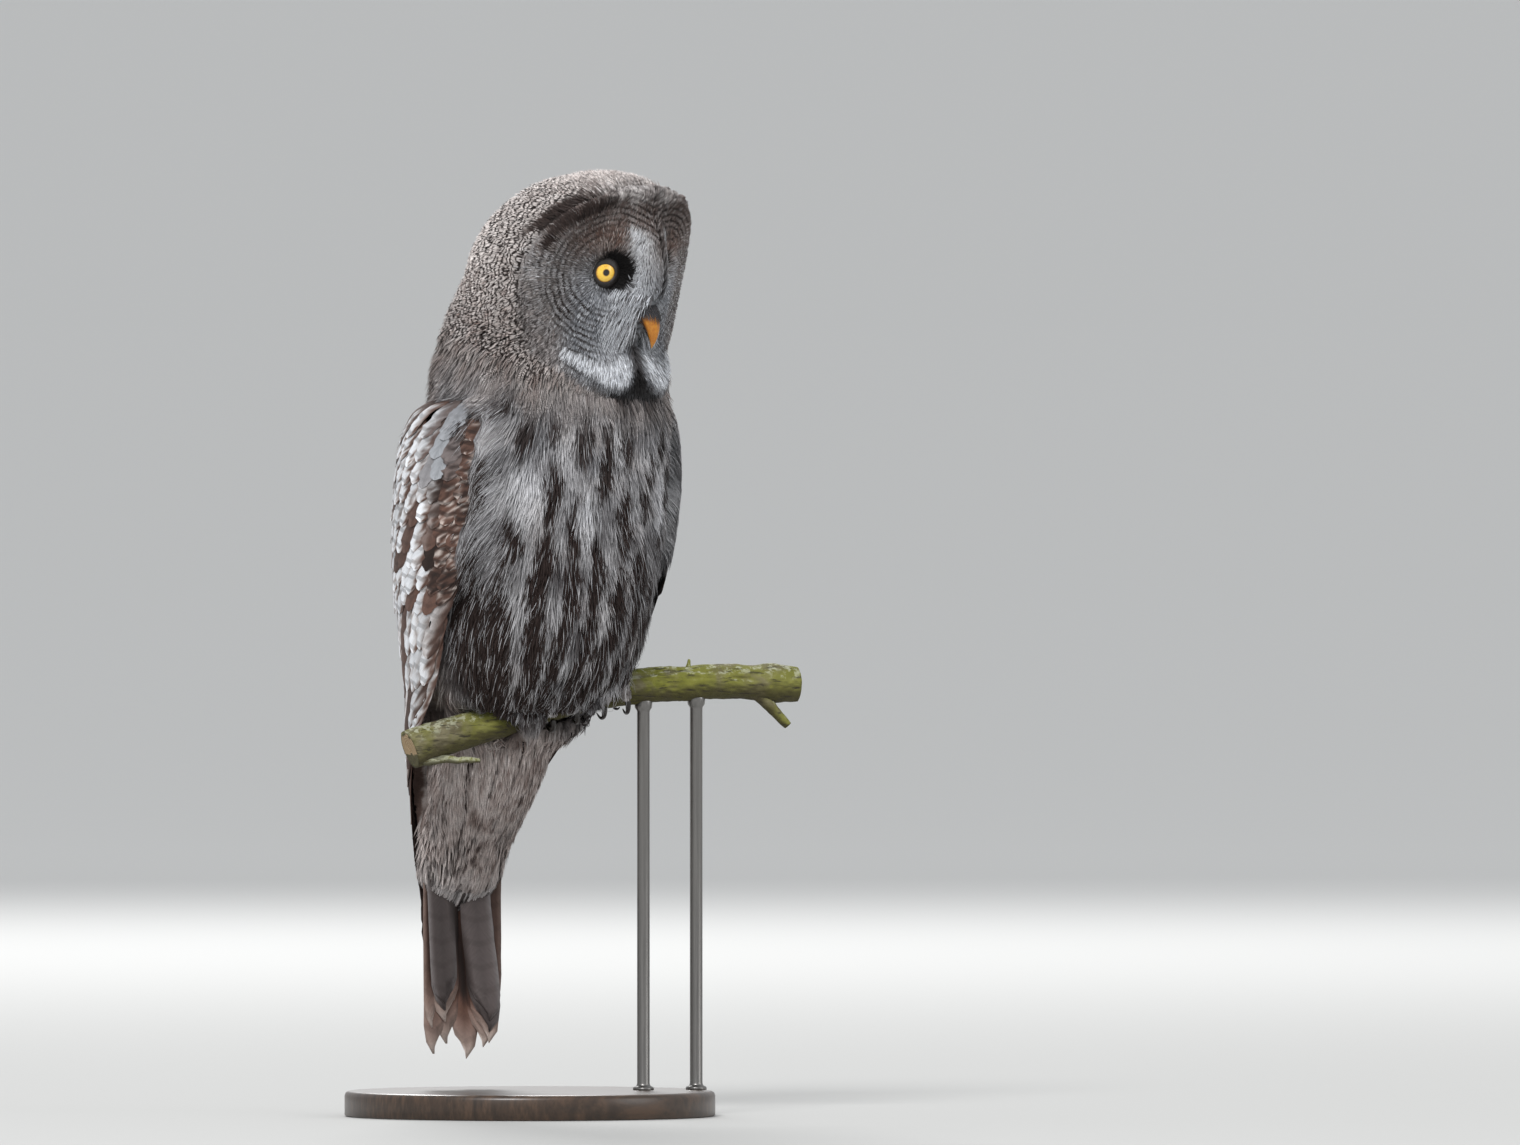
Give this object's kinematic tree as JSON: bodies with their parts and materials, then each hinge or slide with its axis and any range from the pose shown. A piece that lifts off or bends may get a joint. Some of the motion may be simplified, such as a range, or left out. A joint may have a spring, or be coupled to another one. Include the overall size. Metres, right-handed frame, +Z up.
{
  "type": "great grey owl model",
  "caption": "Life-size still model of a large grey owl with a round face disc, perched on a cut branch held over a round display base",
  "frame": {"origin": "centre of the display base's underside, on the bird's upright line", "axes": "+Z up, the body faces -Y, +X to the bird's own left"},
  "size_m": [0.3204, 0.264, 0.6715],
  "materials": {
    "grey_plumage": "soft barred and streaked feathers",
    "brown_plumage": "barred flight feathers with pale edges",
    "leg_plumage": "short downy feathers",
    "eye": "wet gloss",
    "bill": "satin horn",
    "claw": "satin horn",
    "bark": "rough mossy bark",
    "stand_wood": "dark satin varnish",
    "stand_metal": "dark satin"
  },
  "bodies": {
    "root": {"head": "grey_plumage", "neck": "grey_plumage", "trunk": "grey_plumage", "wing_left": "brown_plumage", "leg_left": "leg_plumage", "eye_left": "eye", "claw_front_inner_left": "claw", "claw_front_outer_left": "claw", "claw_back_inner_left": "claw", "claw_back_outer_left": "claw", "wing_right": "brown_plumage", "leg_right": "leg_plumage", "eye_right": "eye", "claw_front_inner_right": "claw", "claw_front_outer_right": "claw", "claw_back_inner_right": "claw", "claw_back_outer_right": "claw", "tail": "brown_plumage", "bill": "bill", "perch_branch": "bark", "stand_base": "stand_wood", "stand_rod_near": "stand_metal", "stand_rod_far": "stand_metal"}
  },
  "joints": []
}
